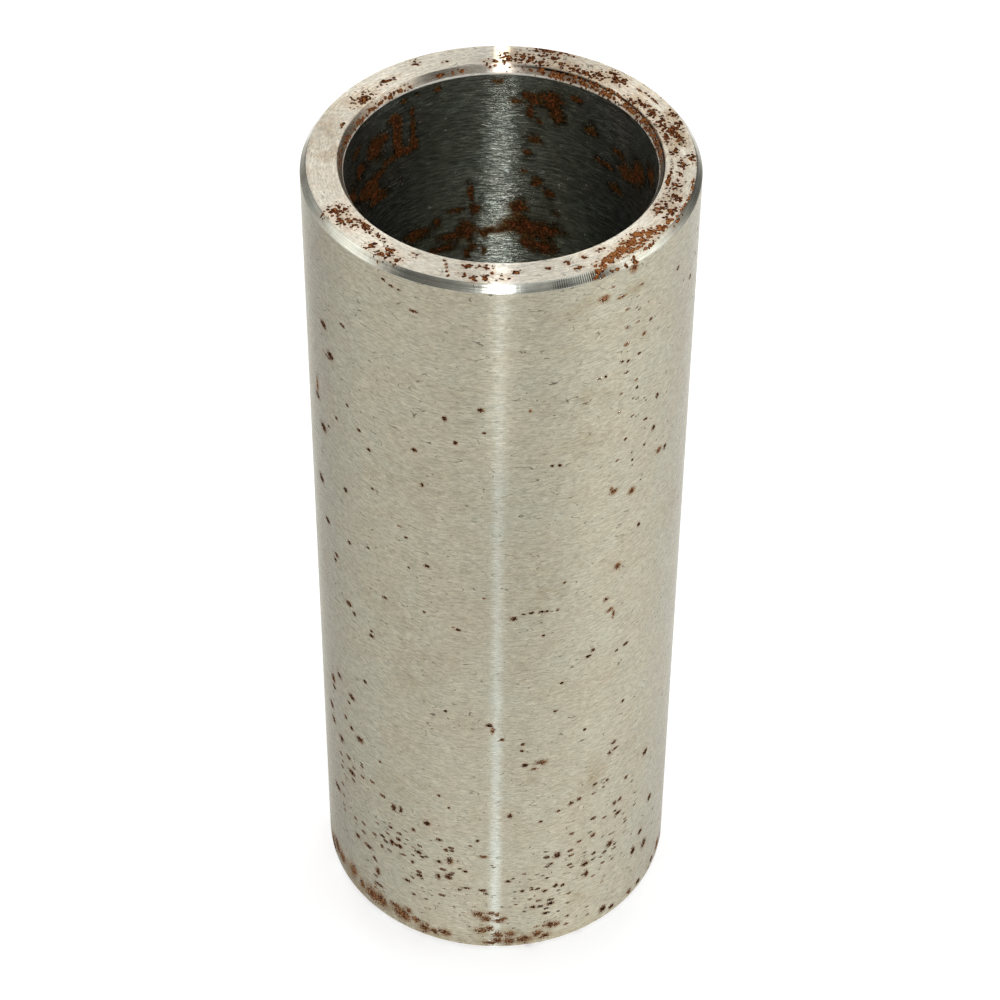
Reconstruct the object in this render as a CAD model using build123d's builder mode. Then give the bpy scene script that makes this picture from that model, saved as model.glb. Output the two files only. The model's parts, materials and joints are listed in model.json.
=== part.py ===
from build123d import *
import os

os.makedirs("parts", exist_ok=True)

# Driving dimensions in millimetres.
bore_diameter = 55.0
wall_thickness = 7.5
sleeve_length = 175.0

# The outer corners of both ends are turned a little steeper than 45 degrees.
outer_chamfer_radial = 1.1
outer_chamfer_axial = 1.4

# The bore mouths have a longer lead-in, so that a pin or shaft starts easily.
mouth_chamfer_radial = 1.0
mouth_chamfer_axial = 1.6

bore_radius = bore_diameter / 2

# Spacer sleeve: one straight-walled steel ring, standing on its lower end face.
# The origin is the centre of the lower end face, and the bore runs up +Z.
with BuildPart() as sleeve:
    with BuildSketch(Plane.XZ) as wall_section:
        with Locations((bore_radius, 0)):
            Rectangle(wall_thickness, sleeve_length, align=(Align.MIN, Align.MIN))
    revolve(axis=Axis.Z)

    # Each end is faced flat, then broken at its outer corner and at its bore mouth.
    # Radial sizes lie in the end face, and axial sizes run down the wall.
    for end in (0, -1):
        end_face = sleeve.faces().filter_by(GeomType.PLANE).sort_by(Axis.Z)[end]
        outer_corner = end_face.edges().sort_by(SortBy.RADIUS)[-1]
        chamfer(outer_corner, outer_chamfer_radial, outer_chamfer_axial, reference=end_face)

        end_face = sleeve.faces().filter_by(GeomType.PLANE).sort_by(Axis.Z)[end]
        bore_mouth = end_face.edges().sort_by(SortBy.RADIUS)[0]
        chamfer(bore_mouth, mouth_chamfer_radial, mouth_chamfer_axial, reference=end_face)

sleeve.part.label = "sleeve"
export_step(sleeve.part, "parts/sleeve.step")
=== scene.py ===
import bpy
import json
import math
import random
from functools import partial
from mathutils import Matrix, Vector, kdtree

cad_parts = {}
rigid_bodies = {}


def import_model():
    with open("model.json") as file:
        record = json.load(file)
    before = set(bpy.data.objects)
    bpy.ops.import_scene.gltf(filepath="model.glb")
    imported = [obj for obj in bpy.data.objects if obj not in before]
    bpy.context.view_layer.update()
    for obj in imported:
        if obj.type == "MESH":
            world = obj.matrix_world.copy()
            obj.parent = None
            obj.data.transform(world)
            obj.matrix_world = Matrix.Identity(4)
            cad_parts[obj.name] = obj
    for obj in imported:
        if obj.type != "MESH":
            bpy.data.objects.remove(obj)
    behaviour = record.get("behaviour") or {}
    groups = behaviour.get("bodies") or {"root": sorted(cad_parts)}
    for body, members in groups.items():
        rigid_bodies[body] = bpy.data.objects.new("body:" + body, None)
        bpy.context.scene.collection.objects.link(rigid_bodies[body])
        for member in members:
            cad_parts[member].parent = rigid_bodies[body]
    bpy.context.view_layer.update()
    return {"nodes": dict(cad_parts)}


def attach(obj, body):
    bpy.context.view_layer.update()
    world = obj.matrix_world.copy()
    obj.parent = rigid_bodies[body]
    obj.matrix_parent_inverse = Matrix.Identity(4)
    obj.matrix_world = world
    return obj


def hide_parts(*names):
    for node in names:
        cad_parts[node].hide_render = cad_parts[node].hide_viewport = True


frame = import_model()
print("loaded the frame")

mm = 0.001


def hexToLinear(text):  # sRGB hex to the linear colour that the shaders want
    parts = [int(text[i:i + 2], 16) / 255 for i in (0, 2, 4)]
    return tuple(c / 12.92 if c < 0.04045 else ((c + 0.055) / 1.055) ** 2.4 for c in parts) + (1.0,)


# One node with its settings, values and links. A plain list of values fills the sockets in their order, and
# a node given as a value stands for its first open output
def addNode(tree, kind, inputs=(), operation=None, **settings):
    node = tree.nodes.new("ShaderNode" + kind)
    if operation:
        node.operation = operation
    for name, value in settings.items():
        setattr(node, name, value)
    for name, value in (inputs if isinstance(inputs, dict) else dict(enumerate(inputs))).items():
        if isinstance(value, bpy.types.Node):
            value = next(out for out in value.outputs if out.enabled)
        socket = node.inputs[name]
        if isinstance(value, bpy.types.NodeSocket):
            tree.links.new(value, socket)
        else:
            socket.default_value = value
    return node


def deselectAll():
    for thing in bpy.context.view_layer.objects:
        thing.select_set(False)


def ringRadius(point):
    return math.hypot(point[0], point[1])


# The sleeve's form: the CAD section's rings joined by strips, with worn corners and finer rows for the marks
sleeveForm = {
    "around": 256,  # corners in each ring
    "cornerWear": 0.12 * mm,
    "lipBevel": 0.2 * mm,  # the bore mouths' inner corners are bevelled wider, and their faces take the lip's painted highlight
    "cornerSteps": 2,
    "cuts": (9, 11),  # cuts in two rounds along the outer wall and along the bore
    "endRow": 0.62 * mm,  # width of a row of faces on the end faces and chamfers
}
tiny = 0.02 * mm  # points nearer than this are one
longFace = 5 * mm  # an upright edge longer than this is still uncut
smoothBelow = 35  # degrees


def sectionCorners(node):  # radius and height of the eight turned corners, read from the CAD solid
    found = {(round(ringRadius(v.co), 5), round(v.co.z, 5)) for v in node.data.vertices}
    between = 0.9 * max(r for r, z in found)  # a radius within the wall
    outer = sorted((c for c in found if c[0] > between), key=lambda c: c[1])
    inner = sorted((c for c in found if c[0] <= between), key=lambda c: -c[1])
    return outer + inner


corners = sectionCorners(frame["nodes"]["sleeve"])
outerRadius = max(r for r, z in corners)
boreRadius = min(r for r, z in corners)
topHeight = max(z for r, z in corners)


def selectEdges(piece, test):  # selects the edges whose two end points pass a test
    bpy.ops.object.mode_set(mode="OBJECT")
    spots = [v.co.copy() for v in piece.data.vertices]
    for group in (piece.data.vertices, piece.data.edges, piece.data.polygons):
        group.foreach_set("select", [False] * len(group))
    for edge in piece.data.edges:
        edge.select = test(*(spots[i] for i in edge.vertices))
    bpy.ops.object.mode_set(mode="EDIT")


def modelSleeve(form):
    deselectAll()
    radius, height = corners[0]
    bpy.ops.mesh.primitive_circle_add(vertices=form["around"], radius=radius, location=(0, 0, height))
    sleeve = bpy.context.active_object
    sleeve.name = "turnedSleeve"
    bpy.ops.object.transform_apply(location=True, rotation=True, scale=True)
    bpy.ops.object.mode_set(mode="EDIT")
    bpy.ops.mesh.select_all(action="SELECT")
    for start, end in zip(corners, corners[1:] + corners[:1]):
        upright = abs(start[0] - end[0]) < tiny
        steps = 1 if upright else max(1, round(math.dist(start, end) / form["endRow"]))
        for step in range(steps):
            was = [a + (b - a) * step / steps for a, b in zip(start, end)]
            new = [a + (b - a) * (step + 1) / steps for a, b in zip(start, end)]
            grow = new[0] / was[0]
            bpy.ops.mesh.extrude_region_move(TRANSFORM_OT_translate={"value": (0, 0, new[1] - was[1])})
            bpy.ops.transform.resize(value=(grow, grow, 1), center_override=(0, 0, new[1]))
    bpy.ops.mesh.select_all(action="SELECT")
    bpy.ops.mesh.remove_doubles(threshold=tiny)
    bpy.ops.mesh.normals_make_consistent(inside=False)
    bpy.ops.mesh.select_mode(type="EDGE")
    lips = [c for c in corners if abs(c[0] - boreRadius) < tiny]
    others = [c for c in corners if c not in lips]
    for rings, wear in ((lips, form["lipBevel"]), (others, form["cornerWear"])):
        selectEdges(sleeve, lambda a, b: any(
            max(abs(ringRadius(p) - r) + abs(p.z - z) for p in (a, b)) < tiny for r, z in rings))
        bpy.ops.mesh.bevel(offset=wear, segments=form["cornerSteps"], affect="EDGES")
    for radius in (outerRadius, boreRadius):
        for cuts in form["cuts"]:
            selectEdges(sleeve, lambda a, b: abs(a.z - b.z) > longFace and abs(ringRadius(a) - radius) < tiny)
            bpy.ops.mesh.subdivide(number_cuts=cuts)
    bpy.ops.mesh.select_all(action="DESELECT")
    bpy.ops.object.mode_set(mode="OBJECT")
    bpy.ops.object.shade_smooth_by_angle(angle=math.radians(smoothBelow))
    bpy.ops.object.modifier_add(type="WEIGHTED_NORMAL")
    sleeve.modifiers[0].keep_sharp = True
    bpy.ops.object.modifier_apply(modifier=sleeve.modifiers[0].name)
    return sleeve


sleeve = modelSleeve(sleeveForm)
print("modelled the sleeve:", len(sleeve.data.polygons), "faces", len(sleeve.data.vertices), "points")

# Rust and dirt placed against the photo: angle in degrees from the front, positive to the right, then
# height (on the top face the radius), half width and half height in mm. "loose" runs from one solid spot to
# broken specks, "warm" from nearly black to orange
rustMarks = {
    "wallSpots": {"side": "wall", "loose": 0.12, "warm": 0.2, "at": (
        (-61.8, 151.2, 1, 0.7), (-58.2, 145.7, 1, 0.7), (-59.8, 144.8, 1.2, 0.4), (-69, 131.2, 1, 0.7),
        (-65, 125.4, 1.2, 0.8), (-51, 155.6, 0.7, 0.35), (-45, 133.7, 0.45, 0.35),
        (-41.2, 130.5, 0.45, 0.35), (-56, 131.9, 0.4, 0.3), (-61.2, 127.6, 0.4, 0.3),
        (-22.7, 127.7, 0.35, 0.4), (-25, 135.5, 0.45, 0.4), (-12.4, 139.5, 0.4, 0.45),
        (-15.6, 144.7, 0.4, 0.5), (-5.2, 147.7, 0.6, 0.45), (-4.2, 142.5, 0.28, 0.25),
        (-24.5, 167.2, 0.8, 0.3), (-34, 171.7, 0.35, 0.3), (-31.5, 171, 0.5, 0.25), (-29, 170.8, 0.4, 0.2),
        (-50, 137.6, 0.4, 0.3), (-40.2, 121.4, 0.4, 0.25), (-52.4, 115.9, 0.5, 0.6),
        (-69, 110.8, 1.2, 0.9), (-42.8, 105.6, 0.4, 0.25), (-51.5, 103.1, 0.5, 0.45),
        (-64.9, 102.1, 0.9, 0.65), (-59.3, 95.9, 0.7, 0.5), (-60.4, 94.3, 0.6, 0.5), (-53, 86.3, 0.9, 0.6),
        (-50.3, 84.9, 0.5, 0.5), (-42.4, 82.6, 0.6, 0.45), (-42.5, 83.9, 0.4, 0.3),
        (-36.5, 95.2, 0.6, 0.3), (-28.3, 113.3, 0.35, 0.25), (-21.5, 107.8, 0.5, 0.4),
        (-27.5, 105.9, 0.25, 0.22), (-22.7, 95.7, 0.32, 0.3), (-11.8, 93.1, 0.45, 0.3),
        (-46.2, 68.3, 0.5, 0.4), (-16, 70.4, 0.3, 0.3), (-2.2, 67.9, 0.6, 0.55), (-53.5, 60.3, 0.9, 0.7),
        (-61, 62.2, 0.9, 0.6), (60.5, 165.1, 0.5, 0.4), (52.7, 139.4, 0.4, 0.6), (47.6, 136, 0.55, 0.3),
        (51.7, 132.2, 0.5, 0.5), (47.6, 129.8, 0.3, 0.3), (42.7, 128.1, 0.3, 0.25),
        (39.6, 134.2, 0.35, 0.3), (71, 158.5, 0.5, 0.5), (15.5, 133.9, 0.3, 0.3), (17.8, 133.6, 0.4, 0.3),
        (43.5, 152.8, 0.35, 0.3), (39.3, 152.5, 0.35, 0.3), (37, 153, 0.5, 0.2), (47.7, 159, 0.35, 0.3),
        (43.2, 145.1, 0.3, 0.3), (31.5, 151.3, 0.3, 0.25), (58.7, 124.5, 0.5, 0.5),
        (46.9, 110.4, 0.4, 0.45), (4.8, 96.7, 0.6, 0.5), (34.8, 95.8, 0.5, 0.45), (14, 91.4, 0.3, 0.3),
        (20.3, 104.2, 0.35, 0.25), (30.7, 83.7, 0.45, 0.4), (29.3, 82.5, 0.55, 0.3),
        (43.8, 80.5, 0.7, 0.35), (40, 80.3, 0.35, 0.3), (20.4, 77.6, 0.35, 0.3), (18.5, 70.2, 0.4, 0.3),
        (28.8, 62.4, 0.35, 0.3), (8.3, 62.3, 0.35, 0.4), (8, 60.5, 0.35, 0.35), (43.7, 64.7, 0.4, 0.4))},
    "wallPatches": {"side": "wall", "loose": 0.2, "warm": 0.75, "at": (
        (29.9, 169, 1, 0.65), (32.8, 170.7, 0.35, 0.3), (36, 167.8, 0.9, 0.25), (43, 168.3, 0.5, 0.2),
        (45.1, 156.7, 0.45, 0.4), (36, 122.8, 0.75, 0.6), (35.1, 123.7, 0.3, 0.5), (43.1, 120.4, 0.8, 0.7),
        (38.8, 103.1, 0.65, 0.75), (36.5, 92.5, 0.75, 0.45), (37.9, 90.9, 0.3, 1), (8.8, 147.4, 0.3, 0.3),
        (-30.5, 115.5, 0.4, 0.2), (-4, 102, 0.3, 0.2), (-13.4, 93.5, 0.3, 0.2), (1.8, 64, 0.4, 0.4),
        (-69, 133.8, 0.5, 1.8), (-1.2, 66.6, 0.35, 0.9), (55.2, 125.3, 0.8, 0.6), (39.8, 172.9, 0.8, 0.9))},
    "lowSpots": {"side": "wall", "loose": 0.18, "warm": 0.25, "at": (
        (-66.2, 58.4, 0.9, 1.1), (-65.7, 56.3, 0.8, 0.55), (-55.3, 57.8, 0.5, 0.4),
        (-57.8, 52.2, 0.5, 0.5), (-54.3, 50.8, 0.6, 0.5), (-49.8, 50, 1.1, 0.75), (-69, 49.3, 1, 0.8),
        (-67.5, 45.8, 1, 0.75), (-61.3, 43.9, 0.9, 0.65), (-57, 40.8, 0.7, 0.5), (-55.5, 37.2, 1, 0.65),
        (-49.2, 42.4, 0.4, 0.35), (-40.4, 48, 0.35, 0.3), (-35.2, 36.8, 0.55, 0.9),
        (-32.4, 37.2, 0.45, 0.9), (-22.7, 36.4, 0.7, 0.65), (-18.5, 32.5, 0.6, 0.4),
        (-18.5, 45.7, 0.35, 0.3), (-15.2, 42.8, 0.3, 0.3), (-27.7, 32.9, 0.4, 0.5),
        (-36.7, 30.2, 0.5, 0.4), (-33.5, 27.8, 0.5, 0.5), (-36.3, 25.7, 0.5, 0.75), (-33, 25.8, 0.6, 0.55),
        (-40.3, 25.8, 0.6, 0.4), (-28, 27.3, 0.5, 0.3), (-26, 26.6, 0.7, 0.5), (-24.6, 25.7, 0.45, 0.4),
        (-16.2, 29.9, 0.4, 0.5), (-15, 26.8, 0.6, 0.9), (-13, 27.2, 0.5, 0.35), (-18.6, 25.8, 0.5, 0.4),
        (-9.9, 24.4, 0.5, 0.35), (-28.2, 22.8, 0.4, 0.4), (-40.6, 22.5, 0.4, 0.5),
        (-5.8, 34.1, 0.35, 0.35), (-19, 21.1, 0.5, 0.75), (-15.8, 21.8, 0.6, 0.65),
        (-25.4, 19.6, 0.5, 0.4), (-47.2, 19.2, 1.2, 0.5), (-53, 19.2, 0.7, 0.65), (-44.6, 17, 0.4, 0.5),
        (-30.5, 16.3, 0.8, 0.4), (-43, 13.5, 0.6, 1), (-28, 12.8, 0.4, 0.35), (-42.5, 9.5, 1.2, 0.35),
        (-66.5, 26.2, 1.4, 0.7), (-9.2, 19.3, 0.6, 0.3), (-4.2, 19, 0.7, 0.4), (9.1, 56.3, 0.55, 0.5),
        (40.5, 54.3, 0.6, 0.45), (39.2, 51.9, 0.5, 0.6), (41.3, 52.2, 0.8, 0.35), (4.5, 41.8, 0.45, 0.6),
        (14.5, 39, 0.4, 0.35), (24.8, 42.1, 0.5, 0.45), (27.7, 42.5, 0.5, 0.4), (20.4, 41, 0.35, 0.3),
        (33.5, 44.9, 0.5, 0.35), (38.5, 44.1, 0.4, 0.3), (57.3, 43, 0.8, 0.8), (47.2, 40.9, 0.5, 0.45),
        (42.2, 35.6, 0.5, 0.6), (44.6, 35.7, 0.5, 0.5), (44, 31.8, 0.8, 0.45), (33.7, 29.5, 0.55, 0.5),
        (28.2, 29.6, 0.5, 0.35), (20.4, 27.7, 0.7, 0.8), (18.6, 25.5, 0.4, 0.35), (40.8, 23.9, 0.8, 0.8),
        (34.2, 23.7, 0.5, 0.4), (31, 21.8, 0.7, 0.65), (31.5, 18.5, 0.45, 0.8), (4.2, 21.9, 0.5, 0.4),
        (53, 15.2, 0.7, 1), (60, 13.5, 0.9, 1.1), (57, 19, 0.7, 0.65), (62.5, 26.3, 0.8, 0.8),
        (8.9, 18.6, 0.4, 0.4), (12.1, 18.6, 0.4, 0.3), (20.2, 18.3, 0.5, 0.5), (22.7, 17.8, 0.45, 0.4),
        (16.5, 17.5, 0.6, 0.35), (12.6, 13, 0.5, 0.45), (18.5, 13.1, 0.8, 0.5), (16.5, 10.4, 0.5, 0.4),
        (39, 4.1, 0.8, 0.9), (43, 3, 0.7, 0.6), (57.3, 2.8, 0.8, 0.6), (68, 3.3, 0.8, 0.7))},
    "footRust": {"side": "wall", "loose": 0.4, "warm": 0.65, "at": (
        (-65, 5, 1.6, 1.6), (-56.5, 6.2, 1.2, 2), (-51.5, 5, 1, 1.3), (-46.5, 4.8, 2.1, 2),
        (-41.8, 5, 1.7, 1.8), (-35.5, 6.2, 1.5, 0.7), (-32.5, 4.7, 2, 1.8), (-30.3, 6.8, 0.8, 0.8),
        (-27.5, 4.9, 1, 0.9), (-24.2, 3.4, 1.1, 1.3), (-20.5, 3.4, 1, 0.8), (-17.2, 3.8, 1.2, 0.9),
        (-5.2, 11.3, 1.3, 0.9), (-3.2, 10.2, 1.3, 0.9), (-4.3, 6.3, 1.3, 0.8), (-1.8, 7.1, 0.8, 0.8),
        (-1.3, 11.9, 0.8, 0.6), (-1.5, 2.6, 1.4, 0.6), (-4, 29.5, 0.8, 0.45), (14.3, 56.4, 1.1, 0.7),
        (12, 54.9, 0.7, 0.3), (0.7, 11.6, 0.6, 0.7), (1.2, 9.8, 1.2, 0.8), (1, 5, 1.2, 1.2),
        (5, 5.3, 1, 0.9), (0.8, 3.3, 1.2, 1.1), (4.7, 3, 1.2, 1.1), (9.5, 3.2, 1.7, 1.1),
        (14.3, 4.3, 1.1, 0.9), (16.5, 3.2, 1.4, 0.8), (18.7, 6.3, 1, 1), (20.7, 6, 0.9, 0.8),
        (52, 2.8, 0.8, 0.7))},
    "dashedLine": {"side": "wall", "loose": 0.3, "warm": 0.0, "at": (
        (8, 97.7, 0.6, 0.22), (10.2, 97.9, 0.5, 0.3), (13.2, 97.8, 0.55, 0.3), (14.9, 97.7, 0.45, 0.28),
        (16.5, 97.6, 0.5, 0.25), (18.4, 97.5, 0.35, 0.3))},
    "faceBlotches": {"side": "top", "loose": 0.55, "warm": 0.5, "at": (
        (-177, 29, 1.5, 0.7), (-151.3, 32.4, 0.7, 0.7), (-160.3, 30.5, 0.6, 0.35), (-138, 30.6, 2, 0.7),
        (-125, 30.3, 2.4, 1.4), (-108.5, 29.5, 0.6, 0.3), (-62, 31.5, 1.4, 2), (-57, 32.2, 1.8, 0.8),
        (-54.5, 30.8, 1.8, 0.9), (-50.5, 29.8, 1.8, 0.8), (-43.5, 29.9, 1.9, 0.45), (-42, 32.7, 0.8, 1.1),
        (-36.5, 32.9, 1.5, 1.1), (-32.5, 33, 1.3, 1), (-36, 31.3, 1.2, 0.7), (-28.3, 30.1, 0.8, 0.5),
        (-11, 32.2, 0.8, 0.5), (-7.8, 33, 0.8, 0.8), (-10.7, 29.7, 0.8, 0.6), (-5.3, 29.8, 1.1, 0.6),
        (-4.3, 32.5, 0.7, 0.9), (-2.4, 31, 0.4, 1.2), (1.2, 32.3, 1, 0.7), (5, 31, 0.8, 0.45),
        (15, 30.8, 0.7, 0.35), (24, 32.3, 0.9, 0.5), (21.5, 30.5, 0.6, 0.5), (27.5, 30, 0.6, 0.7),
        (34, 29.8, 1, 0.5))},
    "faceClusters": {"side": "top", "loose": 0.5, "warm": 0.5, "at": (
        (63.5, 32.2, 2.1, 0.9), (64.5, 30.3, 2.3, 1.1), (70.5, 31.5, 1.2, 1.4), (77, 31, 1.6, 1),
        (79, 29.4, 3.4, 0.5), (83, 31, 0.8, 0.6), (88.5, 31.4, 1.2, 0.7), (91.5, 33.1, 1.2, 0.8),
        (94.5, 30.2, 1.3, 0.8), (102, 31.8, 1.8, 1), (106, 31.2, 2.2, 1.3), (108, 32.9, 2, 0.7),
        (111, 30.3, 2, 1.1), (104, 29.5, 1.8, 0.6), (113.5, 33, 1.5, 0.8), (117, 29.9, 1.8, 1),
        (122.5, 30, 1.9, 0.8), (127, 29, 1.6, 0.5), (138.5, 31.3, 1.7, 1.1), (142, 32.3, 1, 0.8),
        (145, 30.2, 2, 1.1), (149.5, 29.8, 1.6, 1.2), (154.5, 29.8, 2, 1.1), (159, 30, 1.4, 1.2),
        (162.5, 31.6, 0.9, 0.7), (166, 31.5, 1, 0.8), (165.5, 29.7, 2.2, 1.1), (170, 30, 1.6, 1.2),
        (174, 30.5, 2, 1.6), (178, 30.4, 1.7, 1.8), (165, 33.5, 3.4, 0.9))},
    "thinArc": {"side": "top", "loose": 0.45, "warm": 0.6, "at": (
        (123, 32.3, 1.2, 0.28), (126, 32.1, 1.3, 0.28), (129.5, 32, 1.1, 0.25))},
    "orangeBand": {"side": "top", "loose": 0.3, "warm": 0.85, "at": (
        (30.5, 33.2, 1.1, 0.9), (33.5, 32.9, 1.4, 1), (36.5, 32.4, 1.6, 1), (39.5, 32.1, 1.8, 1.1),
        (42.5, 31.8, 1.8, 1.2), (45.5, 31.3, 1.6, 1.2), (48.3, 31.1, 1.5, 1.1), (47.5, 32.6, 2.2, 0.7),
        (51.5, 32.3, 1.7, 0.9), (55, 32.9, 1.8, 0.8), (59, 33.2, 1.8, 0.6), (43, 33.3, 2.2, 0.5))},
    "rimLine": {"side": "top", "loose": 0.5, "warm": 0.9, "at": (
        (63, 33.75, 1.6, 0.25), (67.5, 33.7, 1.6, 0.25), (72, 33.75, 1.4, 0.22), (77, 33.7, 1.8, 0.25),
        (80, 33.5, 0.9, 0.25))},
    "dotLine": {"side": "top", "loose": 0.3, "warm": 0.5, "at": (
        (-15.3, 32.8, 0.25, 0.4), (-16, 32, 0.25, 0.35), (-16.8, 31.1, 0.28, 0.35),
        (-17.5, 30.3, 0.25, 0.35), (-18.7, 29.4, 0.35, 0.3))},
    "chamferRust": {"side": "chamfer", "loose": 0.45, "warm": 0.75, "at": (
        (28.3, 174.3, 0.9, 0.8), (33.5, 174, 1, 0.35), (37.3, 173.9, 0.5, 0.3), (40.3, 174, 0.6, 0.8),
        (62, 174.7, 1.8, 0.3), (47, 174.7, 1.8, 0.25), (141, 174.2, 1.3, 0.8), (149.5, 174.3, 0.9, 0.7),
        (161, 174.3, 1.8, 0.8), (166.5, 174.3, 1.7, 0.9))},
    "mouthRust": {"side": "mouth", "loose": 0.6, "warm": 0.8, "at": (
        (100, 174.1, 4, 0.7), (108, 174.1, 4, 0.7), (116, 174.1, 4, 0.75), (124, 174.1, 4, 0.8),
        (131, 174.1, 3.4, 0.8), (138, 174.1, 3.2, 0.75), (145, 174.1, 3, 0.75), (152, 174.1, 3, 0.7),
        (158, 174.1, 2.6, 0.6), (164, 174.2, 2, 0.5), (169.5, 174.3, 1.4, 0.35), (-177, 174.7, 1.1, 0.4),
        (-164, 174.2, 1.6, 0.35), (-157, 174.1, 1.2, 0.3), (-139, 174, 2.4, 0.45),
        (-133, 173.9, 2.6, 0.45), (-125, 174, 2.4, 0.4), (-116, 173.9, 3, 0.45), (-104, 174, 2.4, 0.5),
        (-92, 174.2, 3, 0.6), (9, 174.3, 0.6, 0.8), (12, 174.2, 0.4, 0.7), (24, 174.4, 0.8, 0.9),
        (31, 174.3, 0.8, 0.9), (36, 174.2, 0.9, 0.8), (-5.5, 174.3, 1.2, 0.7), (-12, 174.2, 0.7, 0.7),
        (-18, 174.3, 0.4, 0.7))},
    "boreTop": {"side": "bore", "loose": 0.5, "warm": 0.7, "at": (
        (161, 168.6, 2.6, 2.2), (168, 168.3, 1.2, 1.5), (174.5, 167.8, 1.4, 0.8), (171.3, 168.9, 0.8, 0.8),
        (176.5, 172.4, 0.9, 0.45), (172.3, 172.3, 0.6, 0.4), (126.5, 172.6, 0.9, 0.6),
        (144, 164.8, 1.8, 1.3), (169, 164.9, 0.9, 1.4), (165.3, 162.9, 0.8, 0.6), (124, 160.4, 2.9, 1.8),
        (129.8, 163.1, 1.6, 0.9), (136.5, 159.2, 2.7, 0.8), (130.7, 154.8, 2.1, 1.3),
        (167.5, 159.2, 1.7, 1.2), (170, 156, 1, 0.9), (162.8, 156.8, 0.6, 0.6), (181.5, 172, 1.4, 0.4),
        (194, 165.4, 1.2, 0.45), (186.5, 168.2, 0.5, 0.5), (205, 171.4, 0.9, 0.9),
        (213.5, 171.5, 0.9, 0.4), (219.5, 171.4, 0.8, 0.9), (150.5, 170.3, 1.4, 1.1))},
    "boreHook": {"side": "bore", "loose": 0.35, "warm": 0.9, "at": (
        (223, 167.5, 1.3, 2.2), (223.3, 164, 1.2, 2.2), (222.3, 161.3, 1.2, 1.5), (218.3, 160.2, 2.2, 0.9),
        (215.3, 161.5, 1.1, 1.6), (225.5, 169.3, 1.4, 1), (215.5, 165, 0.8, 2), (216, 168.6, 0.7, 1.4),
        (228, 160.2, 2, 1), (229.6, 166.4, 1.2, 0.9), (234, 153.8, 3.2, 1.5), (238, 156.5, 2.2, 1.2))},
    "boreLow": {"side": "bore", "loose": 0.55, "warm": 0.75, "at": (
        (166, 149.6, 1.3, 1.3), (171.5, 151.5, 0.8, 0.8), (161, 147.3, 1.3, 1.2), (158.5, 142.6, 1.6, 0.7),
        (173, 143.2, 1.9, 1.8), (160, 138.9, 3.2, 1.4), (167, 138.6, 3.4, 1.8), (174.5, 139, 2.8, 1.9),
        (163, 134.5, 3.2, 1.8), (170, 135, 1.4, 1.4), (192, 147, 0.7, 2.2), (190.3, 143, 1.2, 1.4),
        (198, 142.8, 2.1, 0.8), (205.7, 141.2, 1, 1.1), (211, 139.8, 1.5, 0.6), (184, 137.3, 2.5, 0.8),
        (194, 138, 2, 2.4), (201, 137.3, 2.6, 1.2), (186.5, 135.6, 0.8, 0.6), (191, 134, 0.9, 1),
        (186.7, 132.7, 0.7, 1), (193.7, 132.5, 0.8, 1.2), (204, 134.8, 3.4, 1.1), (221.7, 154, 1.2, 0.6))},
    "boreSide": {"side": "bore", "loose": 0.75, "warm": 0.5, "at": (
        (235, 165.5, 3.2, 2.6), (243.5, 158, 2.4, 2), (246, 163.5, 2, 1.8), (249, 168.5, 2, 1.2),
        (116, 163, 2.4, 2.6), (235.5, 158.8, 2.8, 1.2), (255, 160, 2.4, 3), (105, 166, 2.4, 2.4),
        (268, 164, 3, 2.4), (158, 165, 1.6, 1.6), (215, 140, 3, 1.6))},
}
# Soft patches of brown and grey stain, at the foot partly painted shade: side, angle, place, half width, half
# height, strength
stainsAndFootShade = (
    ("wall", 33, 47, 4, 8, 0.42), ("wall", 30, 20, 2.5, 5, 0.48), ("wall", 28, 12, 3.5, 5, 0.42),
    ("wall", 26, 148, 9, 6, 0.30), ("wall", 22, 168.5, 7, 2.5, 0.6), ("wall", 41, 168, 5, 2, 0.5),
    ("wall", 25, 137, 9, 5, 0.27), ("wall", 12, 103, 6, 8, 0.30), ("wall", 64, 107, 5, 9, 0.24),
    ("wall", 10, 52, 2.2, 1.2, 0.54), ("wall", -25, 128, 9, 8, 0.21), ("wall", -35, 90, 9, 9, 0.24),
    ("wall", -27, 78, 5, 8, 0.27), ("wall", -30, 44, 9, 6, 0.21), ("wall", 38, 72, 9, 5, 0.21),
    ("wall", 52, 52, 6, 12, 0.21), ("wall", 9, 64, 1, 3.5, 0.36), ("wall", -3, 11, 3, 6, 0.30),
    # the foot's darkening: partly rust-brown stain, partly painted shade
    ("wall", -45, 3, 22, 6, 1), ("wall", -65, 3, 16, 6, 1), ("wall", 8, 3, 10, 4, 0.6),
    ("top", 43, 32.2, 8, 2.5, 0.8), ("top", 108, 31.2, 10, 2.5, 0.6), ("top", 155, 30, 16, 2.5, 0.7),
    ("top", -125, 30.6, 5, 2.5, 0.5), ("top", 66, 31, 6, 2.5, 0.5), ("top", -54, 31, 5, 2.5, 0.5),
    ("bore", 166, 140, 9, 8, 0.8), ("bore", 163, 167, 7, 5, 0.6), ("bore", 232, 161, 12, 9, 0.8),
    ("bore", 126, 160, 9, 8, 0.7), ("bore", 198, 138, 9, 7, 0.7), ("mouth", 130, 174.2, 30, 2, 0.6),
    ("mouth", -100, 174.2, 20, 2, 0.5),
)
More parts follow.
